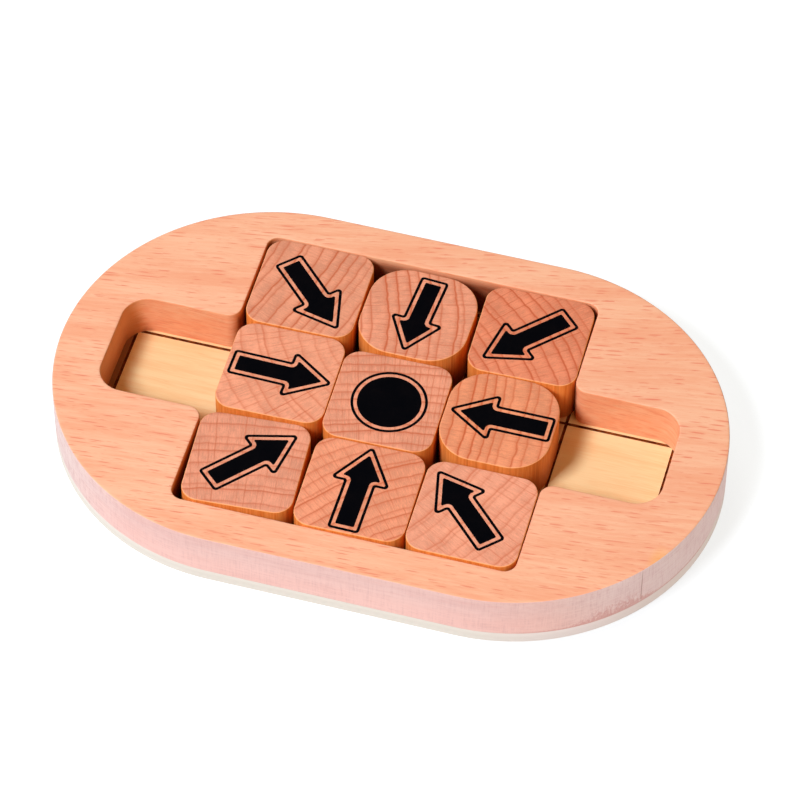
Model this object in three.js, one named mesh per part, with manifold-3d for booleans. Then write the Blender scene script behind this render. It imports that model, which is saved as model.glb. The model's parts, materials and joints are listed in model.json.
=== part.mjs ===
// A wooden sliding tile puzzle, in millimetres with +Z up. A round-ended beech frame is glued to a thin
// plywood base board. Nine loose end-grain tiles stand in its square well, and the bay at each end of the
// middle row is empty, so that a tile can slide into it. The origin lies on the underside, below the
// board's centre. +X runs along the board, and -Y is the player's side.

import * as THREE from 'three';
import { mergeVertices } from 'three/addons/utils/BufferGeometryUtils.js';
import Module from 'manifold-3d';

const PITCH = 25; // one cell of the playing grid

const BOARD_LENGTH = 150;
const BOARD_WIDTH = 95;
const BASE_THICKNESS = 3;
const FRAME_THICKNESS = 11;

// The well, its bays and the engraved grid share a middle, which lies slightly off the board's own.
const CUT_CENTRE = [-0.3, 0.25];
const WELL_LENGTH = 3 * PITCH + 1.5;
const WELL_WIDTH = 3 * PITCH + 2;
const WELL_CORNER = 2.75;
const BAY_WIDTH = PITCH + 1.8;
const BAY_REACH = 63.4; // from the cut's middle to the end wall of a bay
const BAY_CORNER = 6;
const MOUTH_CORNER = 3; // the outside corners where a bay opens into the well

const TILE_SIDE = 24.6;
const TILE_HEIGHT = FRAME_THICKNESS + 0.5; // stands half a millimetre proud of the frame
const TILE_CORNER = 4;
const WORN_TILE_CORNER = 8.5; // the two tiles that are sanded much rounder
const TILE_EDGE_BREAK = 0.4;

// The engraved playing grid is a little finer than the tiles' pitch.
const GRID_CELL = 24.9;
const BAY_CELL = 24.5;
const GROOVE_WIDTH = 0.7;
const GROOVE_DEPTH = 0.4;

const END_ARC_STEPS = 40;
const CORNER_ARC_STEPS = 6;

const BEECH = { color: 0xf2b48c, roughness: 0.6, metalness: 0 };
const END_GRAIN_BEECH = { color: 0xd9936c, roughness: 0.7, metalness: 0 };
const PLYWOOD = { color: 0xf4d6a4, roughness: 0.65, metalness: 0 };

// Where each tile stands: its column and row in the grid, how far it lies from its cell's centre, and how
// many degrees it is turned. Loose tiles never stand quite square.
const TILES = [
  { name: 'tile_front_left', column: -1, row: -1, shift: [-0.05, -0.2], turn: 3.7 },
  { name: 'tile_front_middle', column: 0, row: -1, shift: [0.55, -0.7], turn: 1.0 },
  { name: 'tile_front_right', column: 1, row: -1, shift: [0.5, -0.65], turn: 0.3 },
  { name: 'tile_left', column: -1, row: 0, shift: [-0.05, 0.7], turn: 1.0 },
  { name: 'tile_centre', column: 0, row: 0, shift: [-0.2, -0.7], turn: 0.9 },
  { name: 'tile_right', column: 1, row: 0, shift: [-0.3, 0.7], turn: 0.4, corner: WORN_TILE_CORNER },
  { name: 'tile_back_left', column: -1, row: 1, shift: [-0.5, 0.75], turn: 0.6 },
  { name: 'tile_back_middle', column: 0, row: 1, shift: [-0.3, -0.2], turn: -0.6, corner: WORN_TILE_CORNER },
  { name: 'tile_back_right', column: 1, row: 1, shift: [0.4, 0.65], turn: 1.1 },
];

const wasm = await Module();
wasm.setup();

function arcPoints(centreX, centreY, radius, fromAngle, toAngle, steps) {
  const points = [];
  for (let step = 0; step <= steps; step += 1) {
    const angle = fromAngle + ((toAngle - fromAngle) * step) / steps;
    points.push(new THREE.Vector2(centreX + radius * Math.cos(angle), centreY + radius * Math.sin(angle)));
  }
  return points;
}

// The points of a right-angled outline whose corners [x, y, radius] are rounded.
function roundedOutline(corners) {
  return corners.flatMap(([x, y, radius], index) => {
    const corner = new THREE.Vector2(x, y);
    const [lastX, lastY] = corners.at(index - 1);
    const [nextX, nextY] = corners[(index + 1) % corners.length];
    const toLast = new THREE.Vector2(lastX, lastY).sub(corner).normalize();
    const toNext = new THREE.Vector2(nextX, nextY).sub(corner).normalize();
    const centre = corner.clone().addScaledVector(toLast, radius).addScaledVector(toNext, radius);
    const fromAngle = Math.atan2(-toNext.y, -toNext.x);
    const quarterTurn = toNext.cross(toLast) > 0 ? Math.PI / 2 : -Math.PI / 2;
    return arcPoints(centre.x, centre.y, radius, fromAngle, fromAngle + quarterTurn, CORNER_ARC_STEPS);
  });
}

// The outside of the board: straight sides between two half-round ends.
function boardShape() {
  const radius = BOARD_WIDTH / 2;
  const endCentre = BOARD_LENGTH / 2 - radius;
  const rightEnd = arcPoints(endCentre, 0, radius, -Math.PI / 2, Math.PI / 2, END_ARC_STEPS);
  const leftEnd = arcPoints(-endCentre, 0, radius, Math.PI / 2, (3 * Math.PI) / 2, END_ARC_STEPS);
  return new THREE.Shape([...rightEnd, ...leftEnd]);
}

// The well with its two bays, which is cut right through the frame.
function wellOutline() {
  const wellX = WELL_LENGTH / 2;
  const wellY = WELL_WIDTH / 2;
  const bay = BAY_WIDTH / 2;
  const rightHalf = [
    [wellX, -wellY, WELL_CORNER],
    [wellX, -bay, MOUTH_CORNER],
    [BAY_REACH, -bay, BAY_CORNER],
    [BAY_REACH, bay, BAY_CORNER],
    [wellX, bay, MOUTH_CORNER],
    [wellX, wellY, WELL_CORNER],
  ];
  const leftHalf = rightHalf.map(([x, y, radius]) => [-x, -y, radius]);
  const corners = [...rightHalf, ...leftHalf];
  return roundedOutline(corners.map(([x, y, radius]) => [CUT_CENTRE[0] + x, CUT_CENTRE[1] + y, radius]));
}

function toSolid(geometry) {
  const bare = geometry.clone();
  bare.deleteAttribute('normal');
  bare.deleteAttribute('uv');
  const merged = mergeVertices(bare, 1e-5);
  const vertProperties = new Float32Array(merged.attributes.position.array);
  const triVerts = new Uint32Array(merged.index.array);
  return new wasm.Manifold(new wasm.Mesh({ numProp: 3, vertProperties, triVerts }));
}

function toGeometry(solid) {
  const mesh = solid.getMesh();
  const geometry = new THREE.BufferGeometry();
  geometry.setAttribute('position', new THREE.BufferAttribute(new Float32Array(mesh.vertProperties), 3));
  geometry.setIndex([...mesh.triVerts]);
  geometry.computeVertexNormals();
  return geometry;
}

function frameGeometry() {
  const shape = boardShape();
  shape.holes.push(new THREE.Path(wellOutline()));
  return new THREE.ExtrudeGeometry(shape, { depth: FRAME_THICKNESS, bevelEnabled: false });
}

// One straight groove in the base board's upper face, between two points measured from the cut's middle.
function grooveSolid([fromX, fromY], [toX, toY]) {
  const sizeX = Math.abs(toX - fromX) + GROOVE_WIDTH;
  const sizeY = Math.abs(toY - fromY) + GROOVE_WIDTH;
  const box = new THREE.BoxGeometry(sizeX, sizeY, 2 * GROOVE_DEPTH);
  box.translate(CUT_CENTRE[0] + (fromX + toX) / 2, CUT_CENTRE[1] + (fromY + toY) / 2, BASE_THICKNESS);
  return toSolid(box);
}

// The base board carries the playing grid: three by three cells, and one more cell in each bay.
function baseGeometry() {
  const board = new THREE.ExtrudeGeometry(boardShape(), { depth: BASE_THICKNESS, bevelEnabled: false });
  const gridEdge = 1.5 * GRID_CELL;
  const bayEnd = gridEdge + BAY_CELL;
  const grooves = [];
  for (const line of [-1.5, -0.5, 0.5, 1.5]) {
    const offset = line * GRID_CELL;
    // The lines beside the middle row run on into the bays.
    const reach = Math.abs(line) < 1 ? bayEnd : gridEdge;
    grooves.push(grooveSolid([-reach, offset], [reach, offset]));
    grooves.push(grooveSolid([offset, -gridEdge], [offset, gridEdge]));
  }
  for (const end of [-bayEnd, bayEnd]) {
    grooves.push(grooveSolid([end, -GRID_CELL / 2], [end, GRID_CELL / 2]));
  }
  const grid = grooves.reduce((joined, groove) => joined.add(groove));
  return toGeometry(toSolid(board).subtract(grid));
}

// A square tile with rounded upright corners, standing on z = 0, with its top and bottom edges broken.
function tileGeometry(corner) {
  const half = TILE_SIDE / 2;
  const outline = roundedOutline([
    [half, -half, corner],
    [half, half, corner],
    [-half, half, corner],
    [-half, -half, corner],
  ]);
  const geometry = new THREE.ExtrudeGeometry(new THREE.Shape(outline), {
    depth: TILE_HEIGHT - 2 * TILE_EDGE_BREAK,
    bevelEnabled: true,
    bevelThickness: TILE_EDGE_BREAK,
    bevelSize: TILE_EDGE_BREAK,
    bevelOffset: -TILE_EDGE_BREAK,
    bevelSegments: 1,
  });
  return geometry.translate(0, 0, TILE_EDGE_BREAK);
}

function namedMesh(name, geometry, finish) {
  const mesh = new THREE.Mesh(geometry, new THREE.MeshStandardMaterial(finish));
  mesh.name = name;
  return mesh;
}

const puzzle = new THREE.Group();

puzzle.add(namedMesh('base_board', baseGeometry(), PLYWOOD));

const frame = namedMesh('frame', frameGeometry(), BEECH);
frame.position.z = BASE_THICKNESS;
puzzle.add(frame);

for (const { name, column, row, shift, turn, corner = TILE_CORNER } of TILES) {
  const tile = namedMesh(name, tileGeometry(corner), END_GRAIN_BEECH);
  tile.position.set(column * PITCH + shift[0], row * PITCH + shift[1], BASE_THICKNESS);
  tile.rotation.z = THREE.MathUtils.degToRad(turn);
  puzzle.add(tile);
}

export default puzzle;
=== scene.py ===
"""A wooden sliding tile puzzle: a round-ended beech board with nine end-grain tiles, printed with arrows that
point at the disc in the middle. Lengths in this script are in millimetres until MM turns them into metres."""

import json
import math

import bmesh
import bpy
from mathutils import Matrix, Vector
from mathutils.geometry import tessellate_polygon

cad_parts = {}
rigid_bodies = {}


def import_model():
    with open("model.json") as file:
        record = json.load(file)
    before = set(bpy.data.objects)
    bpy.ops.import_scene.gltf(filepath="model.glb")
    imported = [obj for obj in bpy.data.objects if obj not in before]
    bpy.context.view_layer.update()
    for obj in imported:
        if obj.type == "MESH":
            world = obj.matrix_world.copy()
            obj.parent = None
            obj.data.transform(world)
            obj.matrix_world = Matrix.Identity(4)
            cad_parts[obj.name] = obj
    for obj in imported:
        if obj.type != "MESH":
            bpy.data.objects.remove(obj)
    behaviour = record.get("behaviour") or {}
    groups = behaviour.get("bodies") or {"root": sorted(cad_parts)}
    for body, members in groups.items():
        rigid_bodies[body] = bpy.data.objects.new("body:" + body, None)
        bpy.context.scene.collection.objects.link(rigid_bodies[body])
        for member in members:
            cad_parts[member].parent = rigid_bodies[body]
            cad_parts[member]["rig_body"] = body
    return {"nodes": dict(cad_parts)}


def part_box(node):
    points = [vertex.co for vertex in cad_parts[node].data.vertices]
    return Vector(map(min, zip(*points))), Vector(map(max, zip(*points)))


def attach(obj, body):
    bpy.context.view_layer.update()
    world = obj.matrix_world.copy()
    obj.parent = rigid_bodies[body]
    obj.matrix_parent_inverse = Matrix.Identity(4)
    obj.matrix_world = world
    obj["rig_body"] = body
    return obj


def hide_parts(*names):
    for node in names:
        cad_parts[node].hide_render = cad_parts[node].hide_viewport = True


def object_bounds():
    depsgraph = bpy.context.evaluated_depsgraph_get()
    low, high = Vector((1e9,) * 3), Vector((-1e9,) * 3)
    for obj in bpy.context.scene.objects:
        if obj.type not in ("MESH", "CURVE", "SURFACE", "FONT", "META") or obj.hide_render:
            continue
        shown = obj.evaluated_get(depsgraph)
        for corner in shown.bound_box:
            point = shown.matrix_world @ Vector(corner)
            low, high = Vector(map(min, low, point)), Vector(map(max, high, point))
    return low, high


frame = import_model()
cad_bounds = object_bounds()

MM = 0.001

# The camera looks at the board from the player's side, a little from the right, through a long lens.
VIEW_AZIMUTH = math.radians(15.2)
VIEW_ELEVATION = math.radians(51.0)
VIEW_ROLL = math.radians(0.4)
VIEW_DISTANCE = 979
VIEW_TARGET = (-0.75, 11.6, 0)
LENS = 198

# Sizes that repeat the CAD's own, because a part's box can't give them.
PITCH = 25  # one cell of the playing grid
CUT_CENTRE = Vector((-0.3, 0.25))  # the middle of the well, its bays and the engraved grid
WELL_LENGTH = 3 * PITCH + 1.5
WELL_WIDTH = 3 * PITCH + 2
WELL_CORNER = 2.75
BAY_WIDTH = PITCH + 1.8
BAY_REACH = 63.4  # from the cut's middle to the end wall of a bay
BAY_CORNER = 6
MOUTH_CORNER = 3  # the outside corners where a bay opens into the well
GRID_CELL = 24.9
BAY_CELL = 24.5
GROOVE_WIDTH = 0.7
GROOVE_DEPTH = 0.4

# Radii of the rounded edges, and how finely curves are drawn.
OUTER_EDGE = 0.35
WELL_EDGE = 0.35
BASE_EDGE = 0.2
TILE_EDGE = 0.25
FLAT_RIM = 0.5  # a flat strip beside each rounded edge, which keeps the faces next to it flat in shading
SHARP_ANGLE = 40  # edges that turn more than this many degrees look sharp
EDGE_STEPS = 4
END_ARC_STEPS = 96
CORNER_ARC_STEPS = 12
INK_CORNER_STEPS = 6
DISC_STEPS = 128

# The prints: a solid arrow or disc inside a thin line. The sizes are the line's outer edge.
INK_THICKNESS = 0.03
INK_SINK = 0.01  # how deep the ink reaches into the wood
INK_LINE = 0.63
INK_GAP = 0.78  # bare wood between the line and the solid shape
INK_CORNER = 0.8  # radius of the line's outer corners
INK_NECK_CORNER = 0.3  # radius where the arrow's head meets its shaft
INK_NECK_GROWTH = 0.7  # how much that radius grows with each millimetre inwards
INK_SHARP = 0.3  # radius of the corners inside the line
ARROW_TAIL = -11.73
ARROW_NECK = 1.2
ARROW_TIP = 11.76
ARROW_SHAFT = 3.45  # half widths
ARROW_HEAD = 6.8
DISC_RADIUS = 8.47

# How each tile's wood and print differ. colour is the top's usual colour on a screen. pith is the direction
# in degrees and the distance from the tile to the heart of the tree, which its growth rings curve round.
# rings and rays are their usual spacings, and their depths say how plainly they show. print_at is how far
# the print lies from the tile's middle, along the way it points and across it, and how many degrees it is
# turned. print_size is its scale, where that isn't 1.
TILES = {
    "tile_front_left": dict(
        colour=(227, 153, 123), pith=(-80, 120), rings=2.6, ring_depth=0.9, rays=1.9, ray_depth=0.75,
        print_at=(1.8, 0.1, -1.0)),
    "tile_front_middle": dict(
        colour=(234, 153, 118), pith=(-49, 55), rings=2.5, ring_depth=1.0, rays=2.2, ray_depth=0.7,
        print_at=(0.1, 0.4, -1.4), print_size=1.01),
    "tile_front_right": dict(
        colour=(238, 161, 130), pith=(153, 110), rings=2.5, ring_depth=0.75, rays=1.8, ray_depth=0.6,
        print_at=(2.3, 0.6, -0.8)),
    "tile_left": dict(
        colour=(237, 159, 126), pith=(38, 45), rings=3.0, ring_depth=0.7, rays=2.2, ray_depth=0.9,
        print_at=(0.35, 0, -2.0)),
    "tile_centre": dict(
        colour=(230, 155, 124), pith=(-77, 110), rings=2.4, ring_depth=0.9, rays=1.4, ray_depth=0.8,
        print_at=(0.4, -0.2, 0)),
    "tile_right": dict(
        colour=(233, 150, 110), pith=(184, 140), rings=2.6, ring_depth=1.2, rays=2.2, ray_depth=0.5,
        print_at=(-0.1, -0.3, -0.4)),
    "tile_back_left": dict(
        colour=(227, 153, 121), pith=(165, 110), rings=2.5, ring_depth=1.1, rays=2.6, ray_depth=0.35,
        print_at=(2.0, -0.4, -1.0)),
    "tile_back_middle": dict(
        colour=(231, 155, 123), pith=(194, 80), rings=2.6, ring_depth=1.15, rays=1.8, ray_depth=0.8,
        print_at=(0.2, 0.3, -3.5), print_size=0.94),
    "tile_back_right": dict(
        colour=(227, 139, 104), pith=(-138, 75), rings=2.6, ring_depth=1.05, rays=2.4, ray_depth=0.8,
        print_at=(1.3, -0.1, -0.8)),
}

# Blemishes in the frame's wood: the middle of each, and how far from it along each axis it has faded out.
YELLOW_STAIN = ((67, -27, 14), (3, 5, 5))
RED_STAIN = ((59, -34, 3), (12, 12, 20))
CRACK = ((64.2, -30.15, 8.5), (0.16, 0.16, 9))

# The studio: a glowing floor just under the board, and the soft lights, with the direction each lies in, its
# distance and width in metres, its watts and its colour.
FLOOR_HALF_WIDTH = 4000
FLOOR_HEIGHT = -0.02
FLOOR_GLOW = 0.85
WORLD_COLOUR = (1, 0.62, 0.2, 1)
WORLD_STRENGTH = 0.2
LIGHTS = {
    "key": dict(towards=(-0.47, -0.7, 1), distance=2.0, size=0.5, watts=35.0, colour=(1, 1.07, 1.2)),
    "window": dict(towards=(-1, 0.25, 0.55), distance=1.6, size=1.2, watts=5.0, colour=(1, 1.03, 1.08)),
    "fill": dict(towards=(0.95, -0.35, 0.5), distance=1.6, size=1.2, watts=5.5, colour=(1, 0.92, 0.75)),
}


# ---------------------------------------------------------------- outlines

def arc(centre, radius, start, sweep, steps):
    """Points along an arc, from the angle start through the angle sweep."""
    angles = [start + sweep * step / steps for step in range(steps + 1)]
    return [(centre[0] + radius * math.cos(a), centre[1] + radius * math.sin(a)) for a in angles]


def turned(points, angle, middle):
    """Points turned about the origin, which is then moved to middle."""
    c, s = math.cos(angle), math.sin(angle)
    return [(middle[0] + c * x - s * y, middle[1] + s * x + c * y) for x, y in points]


def board_outline(inset):
    """The outside of the board, drawn in by inset."""
    low, high = cad_bounds_mm()
    radius = (high.y - low.y) / 2
    end = (high.x - low.x) / 2 - radius
    right = arc((end, 0), radius - inset, -math.pi / 2, math.pi, END_ARC_STEPS)
    left = arc((-end, 0), radius - inset, math.pi / 2, math.pi, END_ARC_STEPS)
    return right + left


def rounded_outline(corners, inset):
    """An anticlockwise, right-angled outline with its corners (x, y, radius) rounded, drawn in by inset."""
    points = []
    for index, (x, y, radius) in enumerate(corners):
        corner = Vector((x, y))
        to_last = (Vector(corners[index - 1][:2]) - corner).normalized()
        to_next = (Vector(corners[(index + 1) % len(corners)][:2]) - corner).normalized()
        centre = corner + (to_last + to_next) * radius
        turn = math.copysign(1, to_next.cross(to_last))
        start = math.atan2(-to_next.y, -to_next.x)
        points += arc(centre, radius - turn * inset, start, turn * math.pi / 2, CORNER_ARC_STEPS)
    return points


def well_outline(inset):
    """The well and its two bays. A negative inset goes into the wood round them."""
    well_x, well_y, bay = WELL_LENGTH / 2, WELL_WIDTH / 2, BAY_WIDTH / 2
    right_half = [
        (well_x, -well_y, WELL_CORNER),
        (well_x, -bay, MOUTH_CORNER),
        (BAY_REACH, -bay, BAY_CORNER),
        (BAY_REACH, bay, BAY_CORNER),
        (well_x, bay, MOUTH_CORNER),
        (well_x, well_y, WELL_CORNER),
    ]
    left_half = [(-x, -y, radius) for x, y, radius in right_half]
    corners = [(CUT_CENTRE.x + x, CUT_CENTRE.y + y, radius) for x, y, radius in right_half + left_half]
    return rounded_outline(corners, inset)


def corners_of(polygon):
    """Each point of a polygon, with the directions of the sides that arrive at it and leave it."""
    for index, point in enumerate(polygon):
        here = Vector(point)
        arriving = (here - Vector(polygon[index - 1])).normalized()
        leaving = (Vector(polygon[(index + 1) % len(polygon)]) - here).normalized()
        yield here, arriving, leaving


def moved_in(polygon, distance):
    """An anticlockwise polygon with every side moved inwards by distance."""
    points = []
    for here, arriving, leaving in corners_of(polygon):
        inward = Vector((-arriving.y, arriving.x)) + Vector((-leaving.y, leaving.x))
        points.append(here + inward * distance / (1 + arriving.dot(leaving)))
    return points


def filleted(polygon, convex_radius, concave_radius):
    """An anticlockwise polygon with its corners rounded."""
    points = []
    for here, arriving, leaving in corners_of(polygon):
        turn = math.atan2(arriving.cross(leaving), arriving.dot(leaving))
        side = math.copysign(1, turn)
        radius = convex_radius if turn > 0 else concave_radius
        start = here - arriving * radius * math.tan(abs(turn) / 2)
        to_start = Vector((arriving.y, -arriving.x)) * side
        centre = start - to_start * radius
        points += arc(centre, radius, math.atan2(to_start.y, to_start.x), turn, INK_CORNER_STEPS)
    return points


# ---------------------------------------------------------------- meshes

def cad_bounds_mm():
    low, high = cad_bounds
    return Vector(low) / MM, Vector(high) / MM


def at_height(outline, z):
    return [Vector((x, y, z)) for x, y in outline]


class Solid:
    """A closed mesh made of loops of points: bands of faces between loops, and flat caps."""

    def __init__(self):
        self.mesh = bmesh.new()

    def loop(self, points):
        return [self.mesh.verts.new(point * MM) for point in points]

    def bands(self, loops, finishes):
        """Joins each loop to the next one; finishes gives each band's material number."""
        for first, second, finish in zip(loops, loops[1:], finishes):
            for index in range(len(first)):
                last = index - 1
                face = self.mesh.faces.new((first[last], first[index], second[index], second[last]))
                face.material_index = finish

    def cap(self, outer, hole=None, finish=0):
        if hole is None:
            self.mesh.faces.new(outer).material_index = finish
            return
        points = [[vertex.co for vertex in loop] for loop in (outer, hole)]
        vertices = outer + hole
        for triangle in tessellate_polygon(points):
            face = self.mesh.faces.new([vertices[index] for index in triangle])
            face.material_index = finish

    def finish(self, name, materials):
        bmesh.ops.recalc_face_normals(self.mesh, faces=self.mesh.faces[:])
        data = bpy.data.meshes.new(name)
        self.mesh.to_mesh(data)
        self.mesh.free()
        for material in materials:
            data.materials.append(material)
        data.shade_smooth()
        data.set_sharp_from_angle(angle=math.radians(SHARP_ANGLE))
        piece = bpy.data.objects.new(name, data)
        bpy.context.scene.collection.objects.link(piece)
        return piece


def rounded_edge(radius, top):
    """(inset, height) pairs up a rounded edge, from the upright wall to the flat strip on top."""
    angles = [math.pi / 2 * step / EDGE_STEPS for step in range(EDGE_STEPS + 1)]
    edge = [(radius - radius * math.cos(a), top - radius + radius * math.sin(a)) for a in angles]
    return edge + [(radius + FLAT_RIM, top)]


def board_frame():
    """The frame with its well and bays. Its rounded top edges are half upper face and half wall."""
    low, high = (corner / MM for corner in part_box("frame"))
    solid = Solid()
    outer_profile = [(0, low.z)] + rounded_edge(OUTER_EDGE, high.z)
    outer = [solid.loop(at_height(board_outline(inset), z)) for inset, z in outer_profile]
    well_profile = [(0, low.z)] + rounded_edge(WELL_EDGE, high.z)
    inner = [solid.loop(at_height(well_outline(-inset), z)) for inset, z in well_profile]
    top, side, wall = 0, 1, 2
    upright_bands = 1 + EDGE_STEPS // 2
    top_bands = EDGE_STEPS + 2 - upright_bands
    solid.bands(outer, [side] * upright_bands + [top] * top_bands)
    solid.bands(inner, [wall] * upright_bands + [top] * top_bands)
    solid.cap(outer[-1], inner[-1], top)
    solid.cap(outer[0], inner[0], side)
    return solid.finish("frame_body", [beech_top(), beech_side(), beech_wall()])


def groove_lines():
    """The engraved grid's lines: three by three cells, and one more cell in each bay."""
    grid_edge = 1.5 * GRID_CELL
    bay_end = grid_edge + BAY_CELL
    lines = [((end, -GRID_CELL / 2), (end, GRID_CELL / 2)) for end in (-bay_end, bay_end)]
    for line in (-1.5, -0.5, 0.5, 1.5):
        offset = line * GRID_CELL
        reach = bay_end if abs(line) < 1 else grid_edge
        lines += [((-reach, offset), (reach, offset)), ((offset, -grid_edge), (offset, grid_edge))]
    return [[CUT_CENTRE + Vector(point) for point in line] for line in lines]


def groove_section():
    """A groove's round-bottomed section: (sideways, up) from the middle of the base's upper face."""
    half = GROOVE_WIDTH / 2
    angles = [math.radians(degrees) for degrees in (-68, -46, -23, 0, 23, 46, 68)]
    bottom = [(half * math.sin(a), -GROOVE_DEPTH * math.cos(a)) for a in angles]
    return [(-half, GROOVE_DEPTH), (-half, 0)] + bottom + [(half, 0), (half, GROOVE_DEPTH)]


def groove_cutter(base_top):
    """All the grooves as crossing bars, ready to be cut from the base board."""
    solid = Solid()
    for start, end in groove_lines():
        along = (end - start).normalized() * GROOVE_WIDTH / 2
        across = Vector((-along.y, along.x)).normalized()
        loops = []
        for point in (start - along, end + along):
            section = [(*(point + across * sideways), base_top + up) for sideways, up in groove_section()]
            loops.append(solid.loop([Vector(corner) for corner in section]))
        solid.bands(loops, [0])
        solid.cap(loops[0])
        solid.cap(loops[1])
    return solid.finish("groove_cutter", [burnt_wood()])


def base_board():
    """The base board, with the engraved grid cut into its upper face."""
    low, high = (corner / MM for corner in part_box("base_board"))
    solid = Solid()
    lower = [(inset, low.z + high.z - z) for inset, z in reversed(rounded_edge(BASE_EDGE, high.z))]
    profile = lower + rounded_edge(BASE_EDGE, high.z)
    loops = [solid.loop(at_height(board_outline(inset), z)) for inset, z in profile]
    solid.bands(loops, [0] * (len(loops) - 1))
    solid.cap(loops[0])
    solid.cap(loops[-1])
    piece = solid.finish("base_body", [plywood()])
    cutter = groove_cutter(high.z)
    cut = piece.modifiers.new("grooves", "BOOLEAN")
    cut.object = cutter
    cut.operation = "DIFFERENCE"
    cut.solver = "EXACT"
    cut.use_self = True
    cut.material_mode = "TRANSFER"
    bpy.context.view_layer.objects.active = piece
    bpy.ops.object.modifier_apply(modifier=cut.name)
    piece.data.set_sharp_from_angle(angle=math.radians(SHARP_ANGLE))
    bpy.data.objects.remove(cutter)
    return piece


class TilePlace:
    """Where a CAD tile stands: its centre, its turn, its corner radius and its heights, in millimetres."""

    def __init__(self, node):
        low, high = (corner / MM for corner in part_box(node))
        self.centre = Vector(((low.x + high.x) / 2, (low.y + high.y) / 2))
        self.bottom = low.z
        self.top = high.z
        self.cell = Vector((round(self.centre.x / PITCH), round(self.centre.y / PITCH)))
        right = self.widest_right_face(node)
        self.turn = math.atan2(right.normal.y, right.normal.x)
        ends = [frame["nodes"][node].data.vertices[index].co / MM for index in right.vertices]
        self.flat = max((a.xy - b.xy).length for a in ends for b in ends)
        self.half = (ends[0].xy - self.centre).dot(right.normal.xy.normalized())
        self.corner = self.half - self.flat / 2

    @staticmethod
    def widest_right_face(node):
        faces = frame["nodes"][node].data.polygons
        return max((face for face in faces if face.normal.x > 0.9), key=lambda face: face.area)

    def place(self, points):
        """Points drawn round the tile's middle, moved and turned to where it stands."""
        return turned(points, self.turn, self.centre)


def tile_body(node, place, material):
    """A tile's wood, which stops just below the top of its print."""
    solid = Solid()
    half = place.half
    corners = [(x * half, y * half, place.corner) for x, y in ((1, -1), (1, 1), (-1, 1), (-1, -1))]
    top = place.top - INK_THICKNESS + INK_SINK
    upper = rounded_edge(TILE_EDGE, top)
    lower = [(inset, place.bottom + top - z) for inset, z in reversed(upper)]
    loops = []
    for inset, z in lower + upper:
        loops.append(solid.loop(at_height(place.place(rounded_outline(corners, inset)), z)))
    solid.bands(loops, [0] * (len(loops) - 1))
    solid.cap(loops[0])
    solid.cap(loops[-1])
    return solid.finish(node + "_body", [material])


def arrow_outlines(size):
    """The outer and inner edge of the line round an arrow, and the solid arrow inside it."""
    outer = [
        (ARROW_TAIL, -ARROW_SHAFT),
        (ARROW_NECK, -ARROW_SHAFT),
        (ARROW_NECK, -ARROW_HEAD),
        (ARROW_TIP, 0),
        (ARROW_NECK, ARROW_HEAD),
        (ARROW_NECK, ARROW_SHAFT),
        (ARROW_TAIL, ARROW_SHAFT),
    ]
    outer = [(x * size, y * size) for x, y in outer]
    outlines = [filleted(outer, INK_CORNER, INK_NECK_CORNER)]
    for inset in (INK_LINE, INK_LINE + INK_GAP):
        neck_corner = INK_NECK_CORNER + inset * INK_NECK_GROWTH
        outlines.append(filleted(moved_in(outer, inset), INK_SHARP, neck_corner))
    return outlines


def disc_outlines():
    """The outer and inner edge of the line round the disc, and the solid disc inside it."""
    insets = (0, INK_LINE, INK_LINE + INK_GAP)
    return [arc((0, 0), DISC_RADIUS - inset, 0, math.tau, DISC_STEPS)[:-1] for inset in insets]


def tile_print(node, place, style, material):
    """The ink on a tile's top: an arrow that points at the middle tile, or a disc on the middle tile."""
    if place.cell.length > 0:
        outlines = arrow_outlines(style.get("print_size", 1))
        heading = math.atan2(-place.cell.y, -place.cell.x)
    else:
        outlines = disc_outlines()
        heading = 0
    along, across, turn = style["print_at"]
    middle = turned([(along, across)], heading, (0, 0))[0]
    heading += math.radians(turn)
    solid = Solid()
    rims = []
    for outline in outlines:
        points = place.place(turned(outline, heading, middle))
        rims.append([solid.loop(at_height(points, z)) for z in (place.top - INK_THICKNESS, place.top)])
        solid.bands(rims[-1], [0])
    line_outer, line_inner, filling = rims
    for level in (0, 1):
        solid.cap(line_outer[level], line_inner[level])
        solid.cap(filling[level])
    return solid.finish(node.replace("tile", "print"), [material])


# ---------------------------------------------------------------- materials

def srgb(red, green, blue):
    """A colour given as 0 to 255 on a screen, as the linear numbers that shaders use."""
    shares = [min(value / 255, 1) for value in (red, green, blue)]
    return (*[s / 12.92 if s <= 0.04045 else ((s + 0.055) / 1.055) ** 2.4 for s in shares], 1)


class Wire:
    """A node's output. Sums and products of wires and numbers add Math nodes."""

    def __init__(self, graph, socket):
        self.graph = graph
        self.socket = socket

    def __add__(self, other):
        return self.graph.math("ADD", self, other)

    def __sub__(self, other):
        return self.graph.math("SUBTRACT", self, other)

    def __rsub__(self, other):
        return self.graph.math("SUBTRACT", other, self)

    def __mul__(self, other):
        return self.graph.math("MULTIPLY", self, other)

    def __truediv__(self, other):
        return self.graph.math("DIVIDE", self, other)

    def __abs__(self):
        return self.graph.math("ABSOLUTE", self)

    __radd__ = __add__
    __rmul__ = __mul__


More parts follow.
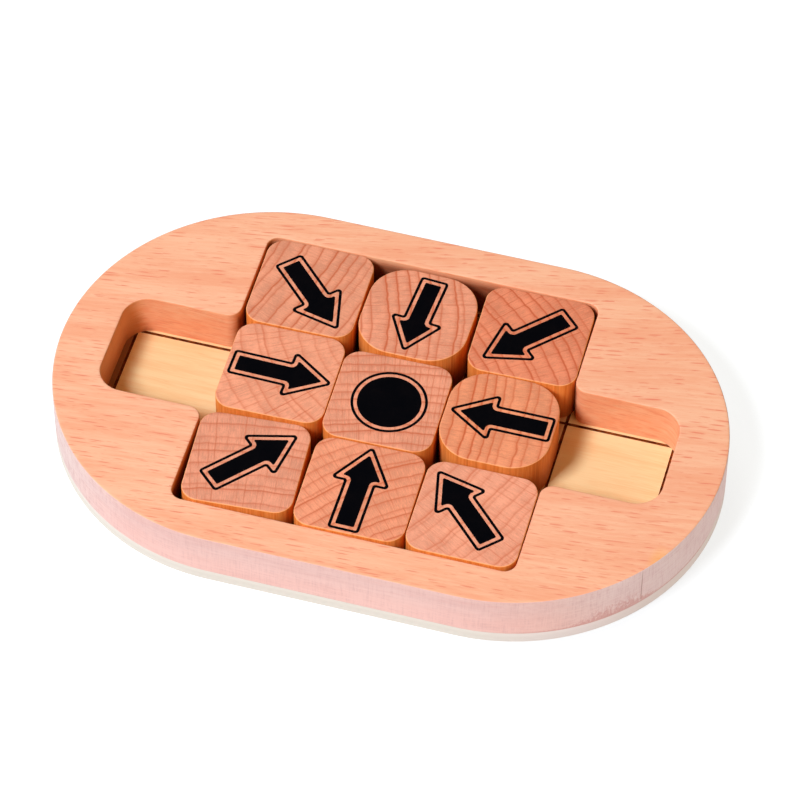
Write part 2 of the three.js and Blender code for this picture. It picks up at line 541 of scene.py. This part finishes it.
class Graph:
    """One material's node tree, built by calls that each add a node and give back its output as a Wire."""

    def __init__(self, name, specular):
        self.material = bpy.data.materials.new(name)
        self.material.use_nodes = True
        self.tree = self.material.node_tree
        self.shader = self.tree.nodes["Principled BSDF"]
        self.shader.inputs["Specular IOR Level"].default_value = specular

    def node(self, kind, inputs=None, output=0, **settings):
        node = self.tree.nodes.new(kind)
        for name, value in settings.items():
            setattr(node, name, value)
        for key, value in (inputs or {}).items():
            self.feed(node.inputs[key], value)
        return Wire(self, node.outputs[output])

    def feed(self, socket, value):
        if isinstance(value, Wire):
            self.tree.links.new(value.socket, socket)
        else:
            socket.default_value = value

    def math(self, operation, first, second=0.0):
        return self.node("ShaderNodeMath", {0: first, 1: second}, operation=operation)

    def split(self, vector):
        parts = self.node("ShaderNodeSeparateXYZ", {0: vector}).socket.node
        return [Wire(self, parts.outputs[axis]) for axis in range(3)]

    def place(self):
        """The point's x, y and z in the puzzle's own frame, in millimetres."""
        return [axis / MM for axis in self.split(self.node("ShaderNodeTexCoord", output="Object"))]

    def facing(self):
        """The x, y and z of the way the surface faces."""
        return self.split(self.node("ShaderNodeTexCoord", output="Normal"))

    def length(self, x, y, z):
        inputs = {0: self.vector(x, y, z)}
        return self.node("ShaderNodeVectorMath", inputs, "Value", operation="LENGTH")

    def vector(self, x, y, z):
        return self.node("ShaderNodeCombineXYZ", {0: x, 1: y, 2: z})

    def noise(self, x, y, z, detail=2.0, roughness=0.6):
        """Smooth noise, 0.5 on average, whose features are about one unit across."""
        inputs = {"Vector": self.vector(x, y, z), "Scale": 1.0, "Detail": detail, "Roughness": roughness}
        return self.node("ShaderNodeTexNoise", inputs)

    def step(self, value, low, high):
        """0 at low and 1 at high, smooth between them; low may be the larger."""
        inputs = {"Value": value, "From Min": low, "From Max": high}
        return self.node("ShaderNodeMapRange", inputs, interpolation_type="SMOOTHSTEP")

    def mix(self, share, first, second):
        return self.node("ShaderNodeMix", {0: share, 6: first, 7: second}, 2, data_type="RGBA")

    def blob(self, position, centre, size):
        """1 at centre, fading to 0 at size away from it along each axis."""
        offsets = [(here - middle) / half for here, middle, half in zip(position, centre, size)]
        return self.step(self.length(*offsets), 1.0, 0.2)

    def scattered_lines(self, position, seed):
        """Lines at uneven places: the signed distance from position to the nearest, and its number."""
        inputs = {"W": position + seed, "Scale": 1.0, "Randomness": 0.8}
        near = self.node("ShaderNodeTexVoronoi", inputs, "W", voronoi_dimensions="1D")
        number = self.node("ShaderNodeSeparateColor", {0: Wire(self, near.socket.node.outputs["Color"])})
        return (position + seed) - near, number

    def flecks(self, position, spacing, size, share, seed):
        """Spindle-shaped marks, with a spacing and a half length on each axis; share is how many are kept."""
        scaled = [axis / step + seed for axis, step in zip(position, spacing)]
        inputs = {"Vector": self.vector(*scaled), "Scale": 1.0, "Randomness": 1.0}
        near = self.node("ShaderNodeTexVoronoi", inputs, "Position")
        cell = near.socket.node
        chance = self.node("ShaderNodeSeparateColor", {0: Wire(self, cell.outputs["Color"])}).socket.node
        stretch = [step / half for step, half in zip(spacing, size)]
        offsets = [(here - middle) * much for here, middle, much in zip(scaled, self.split(near), stretch)]
        shrink = 0.7 + Wire(self, chance.outputs[1]) * 0.9
        inside = self.step(self.length(*offsets) * shrink, 1.0, 0.3)
        kept = self.step(Wire(self, chance.outputs[0]), share, share * 0.6)
        return inside * kept

    def finish(self, colour, roughness, height, relief):
        """Wires the shader; relief is the depth of the surface's texture in millimetres."""
        self.feed(self.shader.inputs["Base Color"], colour)
        self.feed(self.shader.inputs["Roughness"], roughness)
        bump = self.node("ShaderNodeBump", {"Height": height, "Distance": relief * MM, "Strength": 1.0})
        self.feed(self.shader.inputs["Normal"], bump)
        return self.material


def long_grain(graph, along, across, through):
    """Beech cut along its grain: tone and marks from 0 to 1, and fibres for the surface's relief."""
    bands = graph.noise(along / 50, across / 6, through / 6, 3.0)
    streaks = graph.noise(along / 10, across / 0.8, through / 0.8, 3.0, 0.65)
    fibres = graph.noise(along / 3.5, across / 0.24, through / 0.24)
    position = (along, across, through)
    long_flecks = graph.flecks(position, (9, 2.0, 16), (3.4, 0.22, 9), 0.6, 3.1)
    flecks = graph.flecks(position, (3.8, 1.25, 16), (2.0, 0.21, 9), 0.85, 7.7)
    specks = graph.flecks(position, (2.1, 0.75, 12), (0.65, 0.12, 7), 0.6, 8.7)
    tone = graph.step(bands * 0.45 + streaks * 0.4 + fibres * 0.15, 0.36, 0.64)
    marks = graph.math("MINIMUM", long_flecks * 0.75 + flecks * 0.9 + specks * 0.45, 1.0)
    return tone, marks, fibres


def beech_top():
    """The frame's upper face: pale beech, streakier at the right front, with a yellow stain near the rim."""
    graph = Graph("beech_top", 0.2)
    x, y, z = graph.place()
    askew = y - x * (0.14 + 0.0016 * y)
    across = askew + graph.noise(x / 45, askew / 22, z / 22, 1.0) * 3.0
    tone, marks, fibres = long_grain(graph, x, across, z)
    colour = graph.mix(tone, srgb(255, 196, 159), srgb(249, 173, 135))
    colour = graph.mix(marks * 0.75, colour, srgb(236, 122, 94))
    streaky = graph.step(x, -10, 50) * graph.step(y, 10, -20)
    streaks = graph.step(graph.noise(x / 9, across / 0.9, z, 3.0, 0.65), 0.42, 0.6)
    colour = graph.mix(streaky * streaks * 0.3, colour, srgb(248, 164, 128))
    stain = graph.blob((x, y, z), *YELLOW_STAIN)
    colour = graph.mix(stain * 0.5, colour, srgb(255, 185, 105))
    return graph.finish(colour, 0.5 + fibres * 0.2, fibres - marks * 0.4, 0.02)


def beech_side():
    """The frame's outside: paler and pinker, with painted light lightening it towards its right end, and a
    reddish stain and a hairline crack near that end.
    """
    graph = Graph("beech_side", 0.2)
    x, y, z = graph.place()
    facing_x, _, _ = graph.facing()
    across = z + x * 0.03 + graph.noise(x / 30, y / 30, z / 9, 1.0) * 2.0
    tone, marks, fibres = long_grain(graph, x, across, y)
    cut_across = graph.step(abs(facing_x), 0.3, 0.9)
    colour = graph.mix(tone, srgb(226, 189, 181), srgb(219, 177, 169))
    colour = graph.mix(cut_across, colour, graph.mix(tone, srgb(222, 202, 196), srgb(214, 190, 184)))
    lower = graph.step(z, 12.0, 5.0)
    colour = graph.mix(lower * (1 - cut_across) * 0.35, colour, srgb(248, 192, 178))
    colour = graph.mix(marks * 0.25, colour, srgb(220, 160, 148))
    weave = graph.noise(x / 0.35, y / 0.35, z / 5, 3.0, 0.7) + graph.noise(x / 5, y / 5, z / 0.35, 3.0, 0.7)
    threads = graph.step(weave, 0.9, 1.4) * (0.35 + cut_across * 0.45)
    colour = graph.mix(threads, colour, srgb(186, 134, 134))
    # Painted light: the outside is lighter and pinker towards its right end, which the lamps leave in shade.
    colour = graph.mix(graph.step(x, 48, 70) * 0.35, colour, srgb(252, 222, 230))
    low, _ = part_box("frame")
    above_base = z - low.z / MM
    deepest = graph.blob((x, y, z), *RED_STAIN)
    ragged = graph.step(graph.noise(x / 0.5, y / 0.5, z / 0.8, 4.0, 0.8), 0.36, 0.62)
    reach = 0.4 + (0.4 + deepest * 6.0) * ragged
    right_front = graph.step(x, 34, 50) * graph.step(y, -4, -16)
    stained = graph.step(above_base, reach, reach * 0.3) * right_front
    colour = graph.mix(stained * 0.6, colour, srgb(204, 138, 132))
    crack = graph.blob((x, y, z), *CRACK)
    colour = graph.mix(crack * 0.7, colour, srgb(150, 96, 84))
    return graph.finish(colour, 0.55 + fibres * 0.2, fibres + weave - crack * 2, 0.02)


def beech_wall():
    """The frame's inner walls: orange with fine dark hairs. Where they face right they are browner, partly
    end grain and partly painted shade, and painted shade darkens their foot and the well's walls beside the
    tiles.
    """
    graph = Graph("beech_wall", 0.2)
    x, y, z = graph.place()
    facing_x, _, _ = graph.facing()
    run = x + y
    across = z + run * 0.04 + graph.noise(run / 25, 0, z / 9, 1.0) * 2.0
    tone, marks, fibres = long_grain(graph, run, across, (x - y) / 8)
    colour = graph.mix(tone, srgb(247, 182, 138), srgb(243, 154, 108))
    hairs = graph.noise(run / 4, across / 0.3, 0, 3.0, 0.65)
    hair_lines = graph.step(hairs, 0.5, 0.74)
    colour = graph.mix(hair_lines * 0.55, colour, srgb(216, 116, 70))
    colour = graph.mix(marks * 0.5, colour, srgb(226, 122, 84))
    # Walls facing right turn browner, partly the end grain's own colour and partly painted shade, and darker
    # still towards their foot as painted shade.
    facing_right = graph.step(facing_x, 0.35, 0.9)
    colour = graph.mix(facing_right * 0.65, colour, srgb(214, 136, 74))
    colour = graph.mix(facing_right * graph.step(z, 12.0, 4.0) * 0.5, colour, srgb(150, 76, 24))
    # Painted shade: the well's walls darken below the top, where the tiles beside them shade the narrow gaps.
    in_well = graph.step(abs(x - CUT_CENTRE.x), WELL_LENGTH / 2 + 1, WELL_LENGTH / 2 + 0.2)
    colour = graph.mix(in_well * graph.step(z, 13.8, 11.0) * 0.85, colour, srgb(120, 48, 12))
    return graph.finish(colour, 0.55 + fibres * 0.2, fibres * 0.7 - hair_lines * 0.5, 0.03)


def plywood():
    """Pale plywood: a yellow face with a soft straight grain, with painted shade under the tiles and on the
    strips past the grid's ends, and a grey-cream edge that hints at its plies, lightened towards the right
    end as painted light."""
    graph = Graph("plywood", 0.2)
    x, y, z = graph.place()
    across = y + graph.noise(x / 50, y / 25, z, 1.0) * 4.0
    bands = graph.noise(x / 30, across / 2.4, z / 3, 3.0)
    fibres = graph.noise(x / 5, across / 0.3, z / 0.3)
    tone = graph.step(bands * 0.7 + fibres * 0.3, 0.38, 0.64)
    face = graph.mix(tone, srgb(253, 218, 163), srgb(249, 203, 145))
    pores = graph.flecks((x, across, z), (5, 1.2, 3), (0.9, 0.12, 2), 0.4, 5.3)
    face = graph.mix(pores * 0.35, face, srgb(236, 178, 116))
    # Painted shade: the face is darker all through the well, where the tiles stand over it and shade the gaps
    # between them.
    off_middle = abs(x - CUT_CENTRE.x)
    in_well = graph.step(off_middle, WELL_LENGTH / 2 - 0.5, WELL_LENGTH / 2 - 2)
    face = graph.mix(in_well * 0.7, face, srgb(186, 116, 60))
    # Painted shade: darker still on the strips past the grid's end lines, at the foot of each bay's end wall.
    bay_end = 1.5 * GRID_CELL + BAY_CELL
    beyond_lines = graph.step(off_middle, bay_end - 0.2, bay_end + 0.5)
    face = graph.mix(beyond_lines * 0.9, face, srgb(128, 64, 20))
    _, _, facing_z = graph.facing()
    low, high = (corner.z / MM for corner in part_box("base_board"))
    middle_ply = graph.step(abs(z - (low + high) / 2), 0.6, 0.45)
    grain = graph.noise(x / 1.5, y / 1.5, z / 0.3, 3.0)
    edge = graph.mix(middle_ply * 0.3 + grain * 0.4, srgb(221, 213, 202), srgb(211, 202, 190))
    # Painted light: the edge is lighter and pinker towards the right end, where the lamps leave it darker.
    edge = graph.mix(graph.step(x, 25, 60) * 0.7, edge, srgb(236, 218, 218))
    colour = graph.mix(graph.step(abs(facing_z), 0.9, 0.5), face, edge)
    return graph.finish(colour, 0.55 + fibres * 0.15, fibres * 0.6 + bands * 0.4, 0.015)


def burnt_wood():
    """The dark brown inside of the grooves."""
    graph = Graph("burnt_groove", 0.1)
    x, y, z = graph.place()
    char = graph.noise(x / 1.5, y / 1.5, z / 0.4, 3.0, 0.7)
    colour = graph.mix(graph.step(char, 0.35, 0.7), srgb(84, 30, 6), srgb(150, 74, 26))
    return graph.finish(colour, 0.75 + char * 0.15, char, 0.03)


def end_grain(name, place, style, seed):
    """A tile cut across the trunk: curved growth rings and fine rays on top, upright fibres on its sides,
    painted shade darkening the sides towards their foot, and a painted highlight on the rounded top edge.
    """
    graph = Graph(name, 0.2)
    x, y, z = graph.place()
    heading, distance = math.radians(style["pith"][0]), style["pith"][1]
    to_pith = Vector((math.cos(heading), math.sin(heading)))
    pith = place.centre + to_pith * distance
    wave = graph.noise(x / 11 + seed, y / 11, z / 60)
    ripple = graph.noise(x / 1.8 + seed, y / 1.8, z / 20, 1.0)
    radius = graph.length(x - pith.x, y - pith.y, 0)
    sideways = (x - pith.x) * to_pith.y - (y - pith.y) * to_pith.x
    inwards = (pith.x - x) * to_pith.x + (pith.y - y) * to_pith.y
    sweep = graph.math("ARCTAN2", sideways, inwards) * distance

    ring_place = (radius + wave * 1.8 + ripple * 0.5) / style["rings"]
    ring_offset, ring_number = graph.scattered_lines(ring_place, seed * 7)
    from_line = ring_offset * style["rings"]
    late_wood = graph.step(from_line, -1.3, 0.0) * graph.step(from_line, 0.12, 0.0)
    ring_line = graph.step(abs(from_line), 0.38, 0.06)
    rings = (late_wood * 0.45 + ring_line * 0.6) * (0.45 + ring_number * 0.55) * style["ring_depth"]

    ray_place = (sweep + ripple * 0.3) / style["rays"]
    ray_offset, ray_number = graph.scattered_lines(ray_place, seed * 3)
    ray_line = graph.step(abs(ray_offset * style["rays"]), 0.22, 0.04)
    fading = graph.step(graph.noise(radius / 5, ray_place * 0.7, seed, 1.0), 0.3, 0.6)
    rays = ray_line * fading * (0.35 + ray_number * 0.65) * style["ray_depth"]

    cloud = graph.noise(x / 6, y / 6 + seed, z / 30, 3.0)
    hairs = graph.noise(sweep / 0.25, radius / 2.4, seed)
    pores = graph.noise(x / 0.2, y / 0.2, z / 6)
    tone = graph.step(cloud * 0.4 + hairs * 0.35 + pores * 0.25, 0.38, 0.62)
    pale = srgb(*[channel * 1.085 for channel in style["colour"]])
    deep = srgb(*[channel * 0.955 for channel in style["colour"]])
    line = srgb(*[channel * much for channel, much in zip(style["colour"], (0.9, 0.7, 0.58))])
    top = graph.mix(tone, pale, deep)
    top = graph.mix(rays * 0.85, top, line)
    top = graph.mix(rings * 0.95, top, line)

    upright = graph.noise(x / 0.45, y / 0.45, z / 12, 3.0, 0.65)
    side = graph.mix(graph.step(upright, 0.3, 0.7), srgb(246, 152, 74), srgb(226, 124, 48))
    side = graph.mix(rings * 0.3 + rays * 0.25, side, srgb(176, 84, 26))
    _, _, facing_z = graph.facing()
    # Painted shade: the sides darken towards their foot, standing in for the shade deep in the gaps between
    # tiles.
    side = graph.mix(graph.step(z, 13.0, 4.0) * 0.75, side, srgb(128, 56, 16))
    # The rounded top edge: an orange between side and top, lightened by a painted highlight.
    rim_colour_and_highlight = graph.mix(rings * 0.5, srgb(255, 178, 118), srgb(226, 128, 72))
    colour = graph.mix(graph.step(abs(facing_z), 0.15, 0.5), side, rim_colour_and_highlight)
    colour = graph.mix(graph.step(abs(facing_z), 0.75, 0.99), colour, top)
    height = hairs * 0.4 + pores * 0.4 + upright * 0.3 - rays * 0.3 - rings * 0.4
    return graph.finish(colour, 0.52 + pores * 0.2, height, 0.025)


def printing_ink():
    """A thin matt film of black ink that lets the wood's pores show through a little."""
    graph = Graph("printing_ink", 0.03)
    x, y, z = graph.place()
    pores = graph.noise(x / 0.25, y / 0.25, z, 3.0, 0.7)
    blotches = graph.noise(x / 4, y / 4, z)
    colour = graph.mix(graph.step(pores * 0.6 + blotches * 0.4, 0.4, 0.7), srgb(2, 3, 7), srgb(9, 7, 10))
    return graph.finish(colour, 0.6 + pores * 0.2, pores, 0.01)


def floor_paint():
    """A white floor, lit from within as a light table is, so that shadows on it stay faint. It glows less
    close to the board's right end, and least at that end's front, which deepens the shadow there."""
    graph = Graph("studio_floor", 0.0)
    x, y, _ = graph.place()
    low, high = cad_bounds_mm()
    radius = (high.y - low.y) / 2
    beyond_straight = graph.math("MAXIMUM", abs(x) - ((high.x - low.x) / 2 - radius), 0.0)
    from_board = graph.length(beyond_straight, y, 0) - radius
    at_right = graph.step(from_board, 7, 0) * graph.step(x, 20, 50)
    shade = at_right * (graph.step(y, 35, -5) * 0.09 + graph.step(y, -10, -35) * 0.1)
    graph.feed(graph.shader.inputs["Base Color"], (0.3, 0.3, 0.3, 1))
    graph.feed(graph.shader.inputs["Roughness"], 0.9)
    graph.feed(graph.shader.inputs["Emission Color"], (0.96, 0.99, 1, 1))
    graph.feed(graph.shader.inputs["Emission Strength"], FLOOR_GLOW - shade)
    return graph.material


# ---------------------------------------------------------------- pieces

def build_puzzle():
    board = board_frame()
    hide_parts("frame")
    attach(board, "tray")

    base = base_board()
    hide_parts("base_board")
    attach(base, "tray")

    ink = printing_ink()
    for seed, (node, style) in enumerate(TILES.items(), start=1):
        body = frame["nodes"][node]["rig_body"]
        place = TilePlace(node)
        tile = tile_body(node, place, end_grain("end_grain_" + body, place, style, seed))
        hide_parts(node)
        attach(tile, body)
        print_piece = tile_print(node, place, style, ink)
        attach(print_piece, body)


# ---------------------------------------------------------------- studio

def studio_floor():
    half = FLOOR_HALF_WIDTH * MM
    data = bpy.data.meshes.new("studio_floor")
    corners = [(x * half, y * half, FLOOR_HEIGHT * MM) for x, y in ((-1, -1), (1, -1), (1, 1), (-1, 1))]
    data.from_pydata(corners, [], [(0, 1, 2, 3)])
    data.materials.append(floor_paint())
    floor = bpy.data.objects.new("studio_floor", data)
    bpy.context.scene.collection.objects.link(floor)


def soft_light(name, towards, distance, size, watts, colour):
    """A square soft box in the direction towards, facing the board."""
    data = bpy.data.lights.new(name, "AREA")
    data.size = size
    data.energy = watts
    data.color = colour
    light = bpy.data.objects.new(name, data)
    light.location = Vector(towards).normalized() * distance
    light.rotation_euler = Vector(towards).to_track_quat("Z", "Y").to_euler()
    bpy.context.scene.collection.objects.link(light)


def studio_world():
    world = bpy.data.worlds.new("studio")
    world.use_nodes = True
    background = world.node_tree.nodes["Background"]
    background.inputs["Color"].default_value = WORLD_COLOUR
    background.inputs["Strength"].default_value = WORLD_STRENGTH
    bpy.context.scene.world = world


def camera():
    back = Vector((
        math.sin(VIEW_AZIMUTH) * math.cos(VIEW_ELEVATION),
        -math.cos(VIEW_AZIMUTH) * math.cos(VIEW_ELEVATION),
        math.sin(VIEW_ELEVATION),
    ))
    data = bpy.data.cameras.new("camera")
    data.lens = LENS
    data.sensor_width = 36
    data.clip_end = 50
    view = bpy.data.objects.new("camera", data)
    view.location = (Vector(VIEW_TARGET) + back * VIEW_DISTANCE) * MM
    view.rotation_euler = back.to_track_quat("Z", "Y").to_euler()
    view.rotation_euler.rotate_axis("Z", VIEW_ROLL)
    bpy.context.scene.collection.objects.link(view)
    bpy.context.scene.camera = view


camera()
studio_world()
studio_floor()
for light_name, settings in LIGHTS.items():
    soft_light(light_name, **settings)
bpy.context.scene.view_settings.view_transform = "Standard"
build_puzzle()
